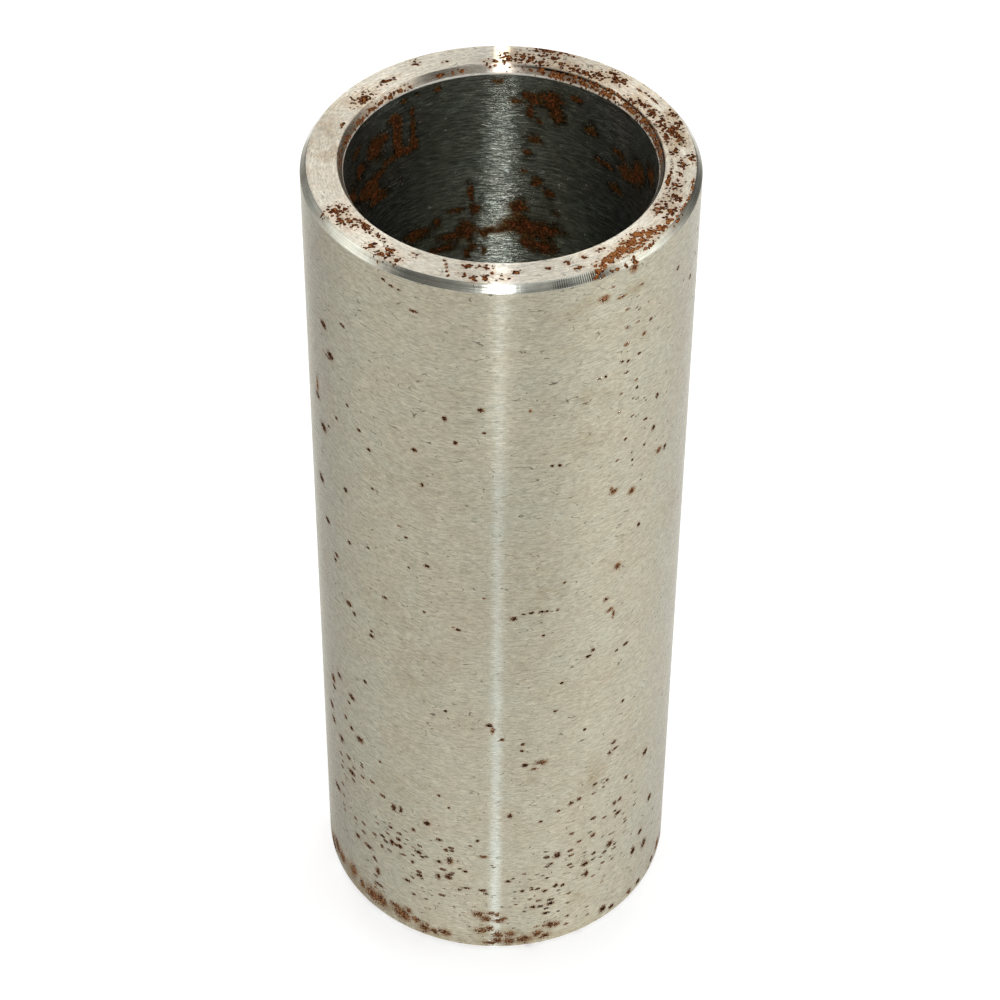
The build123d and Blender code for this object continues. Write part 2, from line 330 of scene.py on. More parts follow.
# Where seeded specks lie thicker: side, angle, place, half width, half height, share of the cells with one
speckClouds = (
    ("wall", 40, 148, 9, 24, 0.6), ("wall", 32, 149, 7, 6, 0.8), ("wall", 41, 160, 5, 7, 0.8),
    ("wall", 45, 130, 9, 14, 0.5), ("wall", -28, 24, 20, 16, 0.95), ("wall", -5, 14, 12, 12, 0.8),
    ("wall", 15, 17, 16, 14, 0.95), ("wall", -50, 30, 14, 18, 0.8), ("wall", 35, 26, 14, 20, 0.85),
    ("wall", -56, 50, 8, 12, 0.4), ("wall", 10, 92, 7, 8, 0.3), ("wall", -25, 125, 20, 30, 0.12),
    ("top", 100, 31, 32, 4, 0.5), ("top", 155, 31, 26, 4, 0.6), ("top", -50, 31, 14, 4, 0.35),
    ("top", 15, 31, 12, 4, 0.25), ("bore", 165, 150, 14, 30, 0.35), ("bore", 200, 140, 18, 16, 0.4),
    ("bore", 232, 162, 18, 14, 0.4),
)
halfChamfer, halfMouth = 0.55, 0.5  # mm from the wall and from the bore to the middle of a chamfer
surfaces = {  # radius and height of each side's marks; None is the mark's own number
    "wall": (outerRadius / mm, None), "bore": (boreRadius / mm, None), "top": (None, topHeight / mm),
    "foot": (None, 0.0), "chamfer": (outerRadius / mm - halfChamfer, None),
    "mouth": (boreRadius / mm + halfMouth, None)}

# Rust of the same kinds where the photo doesn't look: how many marks, and the ranges that each is drawn from
unseenRust = {
    "backSpots": {"side": "wall", "loose": 0.18, "warm": 0.3, "count": 110, "angle": (88, 268),
                  "place": (8, 172), "mostly": 20, "wide": (0.3, 1.0), "tall": (0.25, 0.8)},
    "backFoot": {"side": "wall", "loose": 0.45, "warm": 0.5, "count": 48, "angle": (72, 290),
                 "place": (2.5, 6.5), "wide": (0.7, 2.0), "tall": (0.6, 1.8)},
    "deepBore": {"side": "bore", "loose": 0.6, "warm": 0.7, "count": 90, "angle": (0, 360),
                 "place": (4, 126), "wide": (0.7, 3.4), "tall": (0.6, 2.4)},
    "nearBore": {"side": "bore", "loose": 0.6, "warm": 0.7, "count": 24, "angle": (-75, 90),
                 "place": (130, 171), "wide": (0.7, 3.0), "tall": (0.6, 2.2)},
    "underFace": {"side": "foot", "loose": 0.6, "warm": 0.7, "count": 60, "angle": (0, 360),
                  "place": (29, 33.6), "wide": (0.7, 2.4), "tall": (0.4, 1.2)},
}
unseenSeed = 11


def unseenMarks(kinds, seed):
    draw = random.Random(seed)
    found = {}
    for name, kind in kinds.items():
        at = []
        for mark in range(kind["count"]):
            angle = draw.uniform(*kind["angle"])
            if "mostly" in kind:
                place = draw.triangular(*kind["place"], kind["mostly"])
            else:
                place = draw.uniform(*kind["place"])
            at.append((angle, place, draw.uniform(*kind["wide"]), draw.uniform(*kind["tall"])))
        found[name] = {"side": kind["side"], "loose": kind["loose"], "warm": kind["warm"], "at": at}
    return found


# The point of a mark, the way round the sleeve there, and the mark's own upright
def onSurface(side, angle, place):
    radius, height = surfaces[side]
    flat = radius is None
    radius, height = (place, height) if flat else (radius, place)
    turn = math.radians(angle)
    outward = Vector((math.sin(turn), -math.cos(turn), 0))
    point = outward * radius * mm + Vector((0, 0, height * mm))
    return point, Vector((math.cos(turn), math.sin(turn), 0)), outward if flat else Vector((0, 0, 1))


fullLean = 0.3  # how far a face must lean to one side to take that side's marks
partLean = 0.1  # the same for a chamfer, which leans two ways
markReach = {"times": 1.8, "more": 1.0}  # how far past its own half sizes, and in mm, a mark is looked for
nowhere = (9, 9, 0)  # far outside every mark


def facing(side, normal, outward):  # keeps a mark on its own side of a corner
    lean = normal.dot(outward)
    slanting = abs(normal.z) > partLean
    return {"wall": lean > fullLean, "bore": lean < -fullLean, "top": normal.z > fullLean,
            "foot": normal.z < -fullLean, "chamfer": lean > partLean and slanting,
            "mouth": lean < -partLean and slanting}[side]


# Each face learns where it lies in the nearest mark, in units of that mark's half sizes
def layMarks(piece, kinds):
    mesh = piece.data
    near = kdtree.KDTree(len(mesh.polygons))
    for face in mesh.polygons:
        near.insert(face.center, face.index)
    near.balance()
    best = {}
    for kind in kinds.values():
        for angle, place, wide, tall in kind["at"]:
            point, across, upright = onSurface(kind["side"], angle, place)
            outward = across.cross(Vector((0, 0, 1)))
            within = (markReach["times"] * max(wide, tall) + markReach["more"]) * mm
            for centre, index, far in near.find_range(point, within):
                if not facing(kind["side"], mesh.polygons[index].normal, outward):
                    continue
                gap = (centre - point) / mm
                reach = math.hypot(gap.dot(across) / wide, gap.dot(upright) / tall)
                if index not in best or reach < best[index][0]:
                    best[index] = (reach, point, across / wide, upright / tall, kind["loose"], kind["warm"])
    inMark = mesh.attributes.new("inMark", "FLOAT_VECTOR", "CORNER").data
    warmth = mesh.attributes.new("markWarm", "FLOAT", "FACE").data
    for face in mesh.polygons:
        warmth[face.index].value = 0.5
        for loop in face.loop_indices:
            inMark[loop].vector = nowhere
        if face.index in best:
            reach, point, across, upright, loose, warm = best[face.index]
            warmth[face.index].value = warm
            for loop in face.loop_indices:
                gap = (mesh.vertices[mesh.loops[loop].vertex_index].co - point) / mm
                inMark[loop].vector = (gap.dot(across), gap.dot(upright), loose)


def laySoft(piece, name, ground, patches):  # a smooth share at each point, from soft round patches
    mesh = piece.data
    layer = mesh.attributes.new(name, "FLOAT", "POINT").data
    near = kdtree.KDTree(len(mesh.vertices))
    for point in mesh.vertices:
        near.insert(point.co, point.index)
        layer[point.index].value = ground(point.co)
    near.balance()
    for side, angle, place, wide, tall, strength in patches:
        spot, across, upright = onSurface(side, angle, place)
        for co, index, far in near.find_range(spot, max(wide, tall) * mm):
            gap = (co - spot) / mm
            rest = 1 - math.hypot(gap.dot(across) / wide, gap.dot(upright) / tall) ** 2
            if rest > 0:
                was = layer[index].value
                layer[index].value = max(was, was + (strength - was) * rest)


# Whole zones: toward the floor end the steel darkens, partly as stain and partly as painted shade, and specks
# thicken; the painted shade line in the mouth's corner lies mostly on the right
grimeAndShade = {"stainAndShade": 0.35, "stainAndShadeHeight": 14, "specks": 0.1, "moreSpecks": 0.25, "speckHeight": 40,
         "shadeLine": 0.15, "moreShadeLine": 0.85, "shadeLineWidth": 8, "seepReach": 1.4}


def lowDown(point, height):  # 1 at the floor end, 0 from this height up
    return max(0.0, 1 - point.z / mm / height)


# darker toward the floor end: partly stain, partly painted shade
def stainAndShadeAt(point):
    return grimeAndShade["stainAndShade"] * lowDown(point, grimeAndShade["stainAndShadeHeight"])


def specksAt(point):
    return grimeAndShade["specks"] + grimeAndShade["moreSpecks"] * lowDown(point, grimeAndShade["speckHeight"])


# the share of the painted shade line in the mouth's corner, stronger toward the right
def cornerShadeAt(point):
    return grimeAndShade["shadeLine"] + grimeAndShade["moreShadeLine"] * min(1, max(0, point.x / mm / grimeAndShade["shadeLineWidth"]))


rustKinds = rustMarks | unseenMarks(unseenRust, unseenSeed)
layMarks(sleeve, {name: kind for name, kind in rustKinds.items() if kind["side"] != "bore"})
wider = grimeAndShade["seepReach"]
seeping = [("bore", angle, place, wider * wide, wider * tall, 1.0) for kind in rustKinds.values()
           if kind["side"] == "bore" for angle, place, wide, tall in kind["at"]]
laySoft(sleeve, "softRust", lambda point: 0.0, seeping)
laySoft(sleeve, "stainAndShade", stainAndShadeAt, stainsAndFootShade)
laySoft(sleeve, "speckShare", specksAt, speckClouds)
laySoft(sleeve, "cornerShade", cornerShadeAt, ())
print("placed the rust")

# Settings that many nodes share
smooth = {"interpolation_type": "SMOOTHSTEP"}
inColour = {"data_type": "RGBA"}
tinting = {"data_type": "RGBA", "blend_type": "MULTIPLY"}


def cleared(owner):  # empties the nodes of a material or the world, and gives the call that adds to them
    owner.use_nodes = True
    owner.node_tree.nodes.clear()
    return partial(addNode, owner.node_tree)


def newMaterial(name):
    material = bpy.data.materials.new(name)
    add = cleared(material)
    place = add("TexCoord").outputs["Object"]
    return material, add, add("VectorMath", {0: place, "Scale": 1 / mm}, "SCALE")


# Stretches a pattern round the sleeve, with its repeats per mm round it and across it
def layRound(add, place, lay, around, across):
    if lay == "round":
        return add("VectorMath", (place, (around, around, across)), "MULTIPLY")
    slow = add("VectorMath", (place, (around, around, 0)), "MULTIPLY")
    flat = add("VectorMath", (place, (1, 1, 0)), "MULTIPLY")
    radius = add("VectorMath", (flat,), "LENGTH")
    quick = add("Math", (radius, across), "MULTIPLY")
    return add("VectorMath", (slow, add("CombineXYZ", {"Z": quick})), "ADD")


# How rust grows, the same on every finish
growth = {
    "firm": (1.0, 0.45),  # how solid a mark is, from one spot to loose specks
    "frayed": (0.8, 3.0),  # how far noise eats into it, likewise
    "thinned": -0.25,  # what a loose mark loses
    "soft": (1.6, -0.95),  # times and offset that turn a soft patch's share into rust
    "softFray": 2.0,
    "grainSize": 0.42,  # how much of its cell a grain of crust fills
    "deep": 1.3,  # how far in from its rim a mark has its inner colour
    "bleed": (-0.9, 0.2),  # how far the brown tint runs past the crust
    "roomGain": 3.0,  # how soon a picked cell's speck is full grown
    "speckEdge": 0.03,
    "toneScale": 2.4,  # repeats of the mottling per mm
    "tone": (4.4, -2.2),  # times and offset that turn the mottling into a shade
    "rimDepth": 0.4,  # where the rim's shade turns into the middle's
    "stops": (0.35, 0.7),  # the two middle colours on the way from the darkest to the lightest
}


def rustSpread(add, fray, look):  # how far rust has grown, in the placed marks and the soft patches
    mark = add("Attribute", attribute_name="inMark").outputs["Vector"]
    soft = add("Attribute", attribute_name="softRust").outputs["Fac"]
    swerve = add("VectorMath", (fray.outputs["Color"], (0.5, 0.5, 0.5)), "SUBTRACT")
    bent = add("VectorMath", (swerve, (look["bend"],) * 3, mark), "MULTIPLY_ADD")
    flat = add("VectorMath", (bent, (1, 1, 0)), "MULTIPLY")
    reach = add("VectorMath", (flat,), "LENGTH")
    loose = add("SeparateXYZ", (mark,)).outputs["Z"]
    inner = add("Math", (look["reach"], reach), "SUBTRACT")
    firm = add("MapRange", (loose, 0.0, 1.0, *growth["firm"]))
    swing = add("MapRange", (loose, 0.0, 1.0, *growth["frayed"]))
    filled = add("Math", (inner, firm), "MULTIPLY")
    held = add("Math", (loose, growth["thinned"], filled), "MULTIPLY_ADD")
    ragged = add("Math", (fray, 0.5), "SUBTRACT")
    placed = add("Math", (ragged, swing, held), "MULTIPLY_ADD")
    risen = add("Math", (soft, *growth["soft"]), "MULTIPLY_ADD")
    seeped = add("Math", (ragged, growth["softFray"], risen), "MULTIPLY_ADD")
    return add("Math", (placed, seeped), "MAXIMUM")


def rustSpecks(add, place, fray, look):  # a speck in each cell that the draw picks
    share = add("Attribute", attribute_name="speckShare").outputs["Fac"]
    squeeze = (look["stretch"], look["stretch"], 1.0)
    drawn = add("VectorMath", (place, squeeze), "MULTIPLY")
    warped = add("VectorMath", (fray.outputs["Color"], (look["warp"],) * 3, drawn), "MULTIPLY_ADD")
    cells = add("TexVoronoi", {"Vector": warped, "Scale": 1 / look["cell"]})
    pick = add("SeparateColor", {"Color": cells.outputs["Color"]})
    chosen = add("Math", (share, pick.outputs["Red"]), "SUBTRACT")
    room = add("Math", (chosen, growth["roomGain"]), "MULTIPLY", use_clamp=True)
    sizes = [reach / look["cell"] for reach in look["speck"]]
    size = add("MapRange", (pick.outputs["Green"], 0.0, 1.0, *sizes))
    grown = add("Math", (size, room), "MULTIPLY")
    within = add("Math", (grown, cells), "SUBTRACT")
    return add("MapRange", (within, -growth["speckEdge"], growth["speckEdge"], 0.0, look["speckCover"]),
               **smooth)


# Rust on bare steel: its cover, colour, mottling and the brown tint round it
def rustOver(add, place, look):
    warm = add("Attribute", attribute_name="markWarm").outputs["Fac"]
    fray = add("TexNoise", {"Vector": place, "Scale": look["fray"], "Detail": 3.0, "Roughness": 0.6,
                            "Distortion": look["swirl"]})
    spread = rustSpread(add, fray, look)

    # the crust grows as small round grains that run together
    grains = add("TexVoronoi", {"Vector": place, "Scale": 1 / look["grain"]})
    roundness = add("Math", (growth["grainSize"], grains), "SUBTRACT")
    edge = add("Math", (roundness, look["grainy"], spread), "MULTIPLY_ADD")
    patch = add("MapRange", (edge, *look["rim"]), **smooth)
    depth = add("MapRange", (edge, 0.0, growth["deep"]))
    bleed = add("MapRange", (spread, *growth["bleed"]), **smooth)

    speck = rustSpecks(add, place, fray, look)
    whole = add("Math", (patch, look["cover"]), "MULTIPLY")
    rust = add("Math", (speck, whole), "MAXIMUM")

    # colour: dark at a mark's rim or in its middle, and mottled
    tone = add("TexNoise", {"Vector": place, "Scale": growth["toneScale"], "Detail": 3.0, "Roughness": 0.7})
    mellow = add("Math", (tone, *growth["tone"]), "MULTIPLY_ADD")
    lit = add("Math", (mellow, warm), "ADD")
    inside = add("Math", (depth, growth["rimDepth"]), "SUBTRACT")
    shade = add("Math", (inside, look["rimShade"], lit), "MULTIPLY_ADD")
    colour = add("ValToRGB", {"Fac": shade})
    stops = colour.color_ramp.elements
    darkest, darker, lighter, lightest = (hexToLinear(text) for text in look["colours"])
    stops[0].color, stops[1].color = darkest, lightest
    for spot, middle in zip(growth["stops"], (darker, lighter)):
        stops.new(spot).color = middle
    return rust, colour, tone, bleed


# What every finish shares: patterns by their repeats per mm, and the parts of each noise that are used
steelWear = {
    "middle": (0.3, 0.7),  # nearly all of a noise lies between these
    "clouds": 0.11,
    "mottling": (0.45, 0.8),
    "hairlines": (0.22, 0.6),
    "hairKept": (0.52, 0.6),
    "hairColour": "4a4030",
    "hue": (0.35, 0.65),
    "blots": 0.28,
    "seep": (0.38, 0.68),
    # how the mottling breaks up the painted shade line in the mouth's corner
    "shadeLineShare": (0.3, 0.5, 0.6, 1.0),
    "roughSwing": 0.03,
    "oilRough": 0.08,
    "rustRough": 0.85,
    "glance": 0.02,
}


def markSteel(add, place, look):  # the colour of bare steel under its tool marks, and three of their patterns
    dashes = add("TexNoise", {"Vector": layRound(add, place, look["lay"], *look["dash"]), "Scale": 1.0,
                              "Detail": 3.0, "Roughness": 0.75})
    lines = add("TexNoise", {"Vector": layRound(add, place, look["lay"], *look["line"]), "Scale": 1.0,
                             "Detail": 2.0, "Roughness": 0.5})
    cloud = add("TexNoise", {"Vector": place, "Scale": steelWear["clouds"], "Detail": 5.0, "Roughness": 0.7})
    mottle = add("TexNoise", {"Vector": layRound(add, place, look["lay"], *steelWear["mottling"]),
                              "Scale": 1.0, "Detail": 4.0, "Roughness": 0.65})
    tone = 1.0
    for mark, pattern in {"dash": dashes, "line": lines, "cloud": cloud, "mottle": mottle}.items():
        strength = look[mark + "Tone"]
        level = add("MapRange", (pattern, *steelWear["middle"], 1 - strength, 1 + strength), clamp=False)
        tone = add("Math", (level, tone), "MULTIPLY")

    # hairline scratches: thin contours of a stretched noise, kept in a few places only
    wander = add("TexNoise", {"Vector": layRound(add, place, look["lay"], *steelWear["hairlines"]),
                              "Scale": 1.0, "Detail": 1.0})
    aside = add("Math", (wander, 0.5), "SUBTRACT")
    off = add("Math", (aside,), "ABSOLUTE")
    thin = add("MapRange", (off, look["hairWidth"] / 4, look["hairWidth"], 1.0, 0.0))
    kept = add("MapRange", (mottle, *steelWear["hairKept"]))
    hair = add("Math", (thin, kept), "MULTIPLY")
    scored = add("Math", (hair, look["hairTone"]), "MULTIPLY")
    hue = add("MapRange", (cloud, *steelWear["hue"]))
    bare = add("Mix", {0: hue, 6: hexToLinear(look["colour"]), 7: hexToLinear(look["coolColour"])},
               **inColour)
    toned = add("VectorMath", {0: bare, "Scale": tone}, "SCALE")
    steel = add("Mix", {0: scored, 6: toned, 7: hexToLinear(steelWear["hairColour"])}, **inColour)
    return steel, dashes, lines, mottle


def shadeInCorner(add, place, steel, mottle, shadeLine):  # painted shade: a dark line in the corner where the mouth meets the end face, broken up by the mottling
    halfHeight = topHeight / mm / 2
    level = add("SeparateXYZ", (place,)).outputs["Z"]
    fromMiddle = add("Math", (level, halfHeight), "SUBTRACT")
    outwards = add("Math", (fromMiddle,), "ABSOLUTE")
    below = add("Math", (halfHeight - shadeLine["down"], outwards), "SUBTRACT")
    away = add("Math", (below,), "ABSOLUTE")
    line = add("MapRange", (away, shadeLine["half"] / 2, shadeLine["half"], 1.0, 0.0))
    share = add("MapRange", (mottle, *steelWear["shadeLineShare"]))
    shadeSpread = add("Attribute", attribute_name="cornerShade").outputs["Fac"]
    brokenShade = add("Math", (share, shadeSpread), "MULTIPLY")
    shadeMask = add("Math", (line, brokenShade), "MULTIPLY")
    return add("Mix", {0: shadeMask, 6: steel, 7: hexToLinear(shadeLine["colour"])}, **tinting)


def rattle(add, place, relief, chatter):  # tool chatter: fine ridges across the chamfer
    parts = add("SeparateXYZ", (place,))
    back = add("Math", (parts.outputs["Y"], -1.0), "MULTIPLY")
    angle = add("Math", (parts.outputs["X"], back), "ARCTAN2")
    wave = add("Math", (angle, outerRadius / mm * 2 * math.pi / chatter["pitch"]), "MULTIPLY")
    ridges = add("Math", (wave,), "SINE")
    rattled = add("Attribute", attribute_name="chatter").outputs["Fac"]
    ripple = add("Math", (ridges, rattled), "MULTIPLY")
    strokes = add("Math", (angle, outerRadius / mm / chatter["tick"]), "MULTIPLY")
    ticks = add("TexNoise", {"W": strokes, "Scale": 1.0, "Detail": 3.0}, noise_dimensions="1D")
    relief = add("Bump", {"Distance": chatter["depth"] * mm, "Height": ripple, "Normal": relief})
    return add("Bump", {"Distance": chatter["tickDepth"] * mm, "Height": ticks, "Normal": relief})


def finishSteel(name, look):
    material, add, place = newMaterial(name)
    steel, dashes, lines, mottle = markSteel(add, place, look)

    # old oil and thin rust that only tint the steel, and the painted shade at the foot
    stainAndShade = add("Attribute", attribute_name="stainAndShade").outputs["Fac"]
    blot = add("TexNoise", {"Vector": place, "Scale": steelWear["blots"], "Detail": 5.0, "Roughness": 0.7})
    tintWanted = add("Math", (stainAndShade, look["oldStain"]), "ADD")
    seep = add("MapRange", (blot, *steelWear["seep"]))
    tintShare = add("Math", (tintWanted, seep), "MULTIPLY", use_clamp=True)
    tinted = add("Mix", {0: tintShare, 6: steel, 7: hexToLinear(look["stainColour"])}, **tinting)
    # the painted shade line in the mouth's corner
    if "shadeLine" in look:
        tinted = shadeInCorner(add, place, tinted, mottle, look["shadeLine"])

    rust, rustColour, rustTone, bleed = rustOver(add, place, look["rust"])
    haze = add("Math", (bleed, look["rust"]["bleed"]), "MULTIPLY")
    warmed = add("Mix", {0: haze, 6: tinted, 7: hexToLinear(look["rust"]["bleedColour"])}, **tinting)
    colour = add("Mix", {0: rust, 6: warmed, 7: rustColour}, **inColour)
    metal = add("Math", (rust, -look["bright"], look["bright"]), "MULTIPLY_ADD")
    swing = steelWear["roughSwing"]
    rough = add("MapRange", (lines, *steelWear["middle"], look["rough"] - swing, look["rough"] + swing))
    dulled = add("Math", (tintShare, steelWear["oilRough"], rough), "MULTIPLY_ADD")
    roughness = add("Mix", {0: rust, 2: dulled, 3: steelWear["rustRough"]})
    relief = add("Bump", {"Distance": look["dashDepth"] * mm, "Height": dashes})
    relief = add("Bump", {"Distance": look["lineDepth"] * mm, "Height": lines, "Normal": relief})
    if "chatter" in look:
        relief = rattle(add, place, relief, look["chatter"])
    crust = add("Math", (rust, rustTone), "MULTIPLY")
    relief = add("Bump", {"Distance": look["crustDepth"] * mm, "Height": crust, "Normal": relief})
    roundIt = add("Tangent", direction_type="RADIAL", axis="Z")
    shader = add("BsdfPrincipled", {"Base Color": colour, "Metallic": metal, "Roughness": roughness,
                                    "Anisotropic": look["brushed"], "Anisotropic Rotation": 0.25,
                                    "Tangent": roundIt, "Normal": relief,
                                    "Specular IOR Level": steelWear["glance"]})
    add("OutputMaterial", {"Surface": shader})
    return material


# Rust by the surface that it grows on. "fray" is repeats of the fraying noise per mm; "grain", "cell" and
# "speck" are mm; "colours" run from the darkest to the lightest; "rimShade" below 0 leaves a mark dark in
# the middle

# Rust pits on the ground wall: small nearly black dots with a thin brown rim
wallRust = {
    "fray": 3.4, "swirl": 0.4, "bend": 2, "reach": 1.1, "grain": 0.34, "grainy": 0.9, "rim": (-0.08, 0.1),
    "cover": 1, "rimShade": -0.4, "stretch": 0.6, "warp": 0.9, "cell": 1.3, "speck": (0.12, 0.5),
    "speckCover": 0.9, "bleed": 0.5, "bleedColour": "c8a082",
    "colours": ("28140b", "482a1a", "774d32", "a87a54")}
# Loose crust on the end faces and chamfers: worm-like red-brown clumps with bright steel between them
endRust = {
    "fray": 1.3, "swirl": 0.5, "bend": 0.8, "reach": 1.2, "grain": 0.66, "grainy": 1.7, "rim": (-0.06, 0.06),
    "cover": 1, "rimShade": 1, "stretch": 1, "warp": 0.9, "cell": 1.3, "speck": (0.12, 0.36),
    "speckCover": 0.85, "bleed": 0.35, "bleedColour": "d8b48e",
    "colours": ("2a140a", "482410", "6e3a1c", "9a6438")}
# Rust film in the bore, grown under old oil: dull orange clouds with soft rims and a wide brown tint
boreRust = {
    "fray": 0.9, "swirl": 0.6, "bend": 0.8, "reach": 1, "grain": 0.6, "grainy": 0.9, "rim": (-0.3, 0.45),
    "cover": 0.92, "rimShade": 0.5, "stretch": 1, "warp": 1.1, "cell": 1.6, "speck": (0.15, 0.5),
    "speckCover": 0.6, "bleed": 1, "bleedColour": "8e6c3e",
    "colours": ("1a0e07", "381d0e", "5a2e15", "84482a")}

# Finishes. "dash" and "line" are the repeats per mm of the short and the long tool marks, round the sleeve
# and across it; depths are mm; "bright" is how bare the metal is. Real tool marks lie 0.05 to 0.15 mm apart.
# That is under a pixel of the photo, so they are drawn coarser, 0.25 to 0.4 mm apart
commonLook = {
    "lay": "round", "dash": (0.5, 3), "line": (0.08, 4), "dashTone": 0.1, "lineTone": 0.05,
    "cloudTone": 0.05, "mottleTone": 0.08, "hairWidth": 0.016, "dashDepth": 0.004, "crustDepth": 0.08,
    "brushed": 1, "bright": 1, "oldStain": 0.12, "stainColour": "b09068", "rust": endRust}
# Cylindrically ground steel, yellowed by old oil: fine marks round the wall draw every reflection out into
# soft upright bands, and leave a grey-green sheen
wallLook = commonLook | {
    "colour": "c8c0a9", "coolColour": "c2bfab", "dash": (0.8, 3), "line": (0.22, 2.6), "dashTone": 0.28,
    "hairTone": 0.75, "rough": 0.24, "dashDepth": 0.012, "lineDepth": 0.07, "crustDepth": 0.06,
    "stainColour": "d2bd9c", "rust": wallRust}
# Steel faced on a lathe: the tool's rings make it the palest surface, and fan the light out across the ring
endLook = commonLook | {
    "lay": "face", "colour": "f0e9d8", "coolColour": "e4decf", "dash": (0.9, 3), "line": (0.1, 2.5),
    "dashTone": 0.3, "lineTone": 0.1, "cloudTone": 0.06, "mottleTone": 0.09, "hairTone": 0.6,
    "hairWidth": 0.03, "rough": 0.36, "dashDepth": 0.01, "lineDepth": 0.02, "crustDepth": 0.07,
    "stainColour": "d0b48c"}
# Steel turned with a form tool: smoother, so the chamfer mirrors the studio in sharp light and dark bands,
# crossed by chatter ridges where the tool rattled. The ridges are as far apart as in the photo, 0.4 mm
chamferLook = commonLook | {
    "colour": "cac7b8", "coolColour": "c6c8bc", "dash": (0.3, 3), "lineTone": 0.16, "hairTone": 0.3,
    "rough": 0.17, "lineDepth": 0.006, "brushed": 0.6, "oldStain": 0.1, "stainColour": "a98a66",
    "chatter": {"pitch": 0.4, "depth": 0.012, "tick": 0.9, "tickDepth": 0.01}}
# Steel reamed at the bore mouth: satin, with a thin dark line of painted shade in the corner against the end
# face
mouthLook = commonLook | {
    "colour": "dcd4c4", "coolColour": "d2ccbe", "dashTone": 0.2, "lineTone": 0.15, "mottleTone": 0.2,
    "hairTone": 0.4, "hairWidth": 0.03, "rough": 0.26, "dashDepth": 0.006, "lineDepth": 0.01,
    "brushed": 0.85, "oldStain": 0.3, "shadeLine": {"down": 0.35, "half": 0.26, "colour": "2a2620"}}
# A thin pale line all round the mouth's inner corner: a painted highlight, pale colour on mostly non-metallic
# steel where the edge catches the light
lipLook = commonLook | {
    "colour": "faf4e6", "coolColour": "f6f0e4", "cloudTone": 0.02, "mottleTone": 0.2, "hairTone": 0.1,
    "rough": 0.5, "lineDepth": 0.004, "crustDepth": 0.04, "brushed": 0, "bright": 0.35, "oldStain": 0}
# Bored steel, darkened by old oil: deeper tool marks round the bore break its highlight into short glints
boreLook = commonLook | {
    "colour": "b0b0a4", "coolColour": "a2a89e", "line": (0.4, 2.6), "dashTone": 0.6, "lineTone": 0.2,
    "cloudTone": 0.12, "mottleTone": 0.15, "hairTone": 0.5, "rough": 0.18, "dashDepth": 0.02,
    "lineDepth": 0.15, "crustDepth": 0.05, "bright": 0.965, "oldStain": 0.2, "stainColour": "a08a64",
    "rust": boreRust}

finishes = {
    "wall": ("cylindricallyGroundSteel", wallLook), "end": ("facedSteel", endLook),
    "chamfer": ("turnedChamferSteel", chamferLook), "mouth": ("reamedMouthSteel", mouthLook),
    "lip": ("lipHighlightSteel", lipLook), "bore": ("boredSteel", boreLook)}
mesh = sleeve.data
for name, look in finishes.values():
    mesh.materials.append(finishSteel(name, look))
halfWall = (outerRadius + boreRadius) / 2
squareOn = {"end": 0.95, "wall": 0.95, "bore": 0.995, "lip": 0.9}  # least lean of a face to its own side


def finishOf(face):
    if abs(face.normal.z) > squareOn["end"]:
        return "end"
    outward = (face.normal.x * face.center.x + face.normal.y * face.center.y) / ringRadius(face.center)
    if ringRadius(face.center) > halfWall:
        return "wall" if outward > squareOn["wall"] else "chamfer"
    if outward < -squareOn["bore"]:
        return "bore"
    return "lip" if outward < -squareOn["lip"] else "mouth"


for face in mesh.polygons:
    face.material_index = list(finishes).index(finishOf(face))
chatterZones = (("chamfer", 22, 174.3, 4.5, 3, 1.0), ("chamfer", 158, 174.3, 6, 3, 1.0))
laySoft(sleeve, "chatter", lambda point: 0.0, chatterZones)

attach(sleeve, "root")
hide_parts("sleeve")
print("finished the steel")

# Camera, matched to the photo's rim and sides: film and lens in mm, back and up in metres, then degrees
cameraSpot = {"film": 36, "lens": 111.2, "back": 0.42926, "up": 0.50063, "pitch": 43.48, "yaw": 0.04,
              "roll": 0.504}


def placeCamera(spot):
    camera = bpy.data.objects.new("photoCamera", bpy.data.cameras.new("photoCamera"))
    bpy.context.scene.collection.objects.link(camera)
    camera.data.sensor_width = spot["film"]
    camera.data.lens = spot["lens"]
    pitch, yaw, roll = (math.radians(spot[key]) for key in ("pitch", "yaw", "roll"))
    ahead = Vector((math.sin(yaw) * math.cos(pitch), math.cos(yaw) * math.cos(pitch), -math.sin(pitch)))
    level = Vector((math.cos(yaw), -math.sin(yaw), 0))
    above = level.cross(ahead)
    right = math.cos(roll) * level + math.sin(roll) * above
    upward = math.cos(roll) * above - math.sin(roll) * level
    turn = Matrix((right, upward, -ahead)).transposed().to_4x4()
    camera.matrix_world = Matrix.Translation((0, -spot["back"], spot["up"])) @ turn
    bpy.context.scene.camera = camera


placeCamera(cameraSpot)

